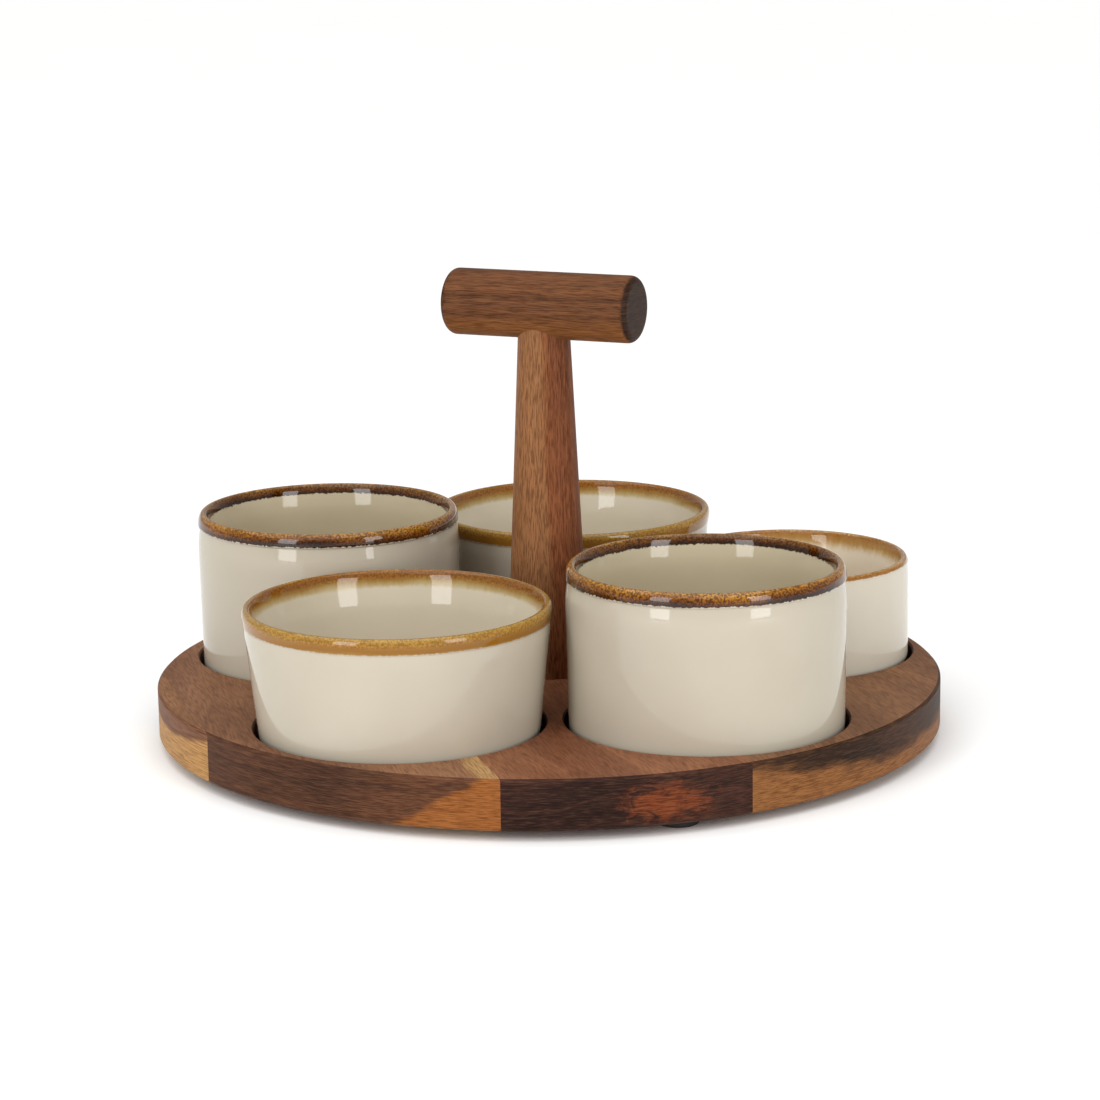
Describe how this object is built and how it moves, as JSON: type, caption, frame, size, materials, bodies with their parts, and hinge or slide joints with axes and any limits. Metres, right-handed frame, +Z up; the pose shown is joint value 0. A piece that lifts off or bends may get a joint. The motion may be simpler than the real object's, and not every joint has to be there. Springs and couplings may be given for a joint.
{
  "type": "chip and dip server",
  "caption": "Round wooden serving board on rubber feet with loose glazed stoneware bowls in recesses and a turned wooden T-handle at its centre.",
  "frame": {"origin": "on the surface that the feet stand on, under the centre of the round board", "axes": "+Z up; +X from the centre towards the small bowl; the board's glue lines run along Y"},
  "size_m": [0.32, 0.32, 0.1885],
  "materials": {
    "board_wood": "oiled satin, dark and light heartwood with a streak of pale sapwood",
    "handle_wood": "turned, oiled satin",
    "dowel_wood": "plain beech",
    "straight_bowl_glaze": "glossy cream glaze with a dark speckled amber rim",
    "tapered_bowl_glaze": "glossy cream glaze with a golden amber rim",
    "small_bowl_glaze": "glossy cream glaze with a thin amber rim that fades inwards",
    "insert_brass": "plain",
    "fixing_steel": "zinc plated",
    "foot_rubber": "matt black"
  },
  "bodies": {
    "board": {"board_stave_1": "board_wood", "board_stave_2": "board_wood", "board_stave_3": "board_wood", "board_stave_4": "board_wood", "handle_post": "handle_wood", "handle_bar": "handle_wood", "handle_dowel": "dowel_wood", "handle_insert": "insert_brass", "handle_washer": "fixing_steel", "handle_screw": "fixing_steel", "foot_1": "foot_rubber", "foot_2": "foot_rubber", "foot_3": "foot_rubber", "foot_4": "foot_rubber", "foot_screw_1": "fixing_steel", "foot_screw_2": "fixing_steel", "foot_screw_3": "fixing_steel", "foot_screw_4": "fixing_steel"},
    "small_bowl": {"small_bowl": "small_bowl_glaze"},
    "tapered_bowl_back": {"tapered_bowl_back": "tapered_bowl_glaze"},
    "straight_bowl_back": {"straight_bowl_back": "straight_bowl_glaze"},
    "tapered_bowl_front": {"tapered_bowl_front": "tapered_bowl_glaze"},
    "straight_bowl_front": {"straight_bowl_front": "straight_bowl_glaze"}
  },
  "joints": [
    {"name": "small_bowl_lift", "type": "slide", "parent": "board", "child": "small_bowl", "axis": [0, 0, 1], "range_m": [0, 0.18]},
    {"name": "tapered_bowl_back_lift", "type": "slide", "parent": "board", "child": "tapered_bowl_back", "axis": [0, 0, 1], "range_m": [0, 0.18]},
    {"name": "straight_bowl_back_lift", "type": "slide", "parent": "board", "child": "straight_bowl_back", "axis": [0, 0, 1], "range_m": [0, 0.18]},
    {"name": "tapered_bowl_front_lift", "type": "slide", "parent": "board", "child": "tapered_bowl_front", "axis": [0, 0, 1], "range_m": [0, 0.18]},
    {"name": "straight_bowl_front_lift", "type": "slide", "parent": "board", "child": "straight_bowl_front", "axis": [0, 0, 1], "range_m": [0, 0.18]}
  ]
}
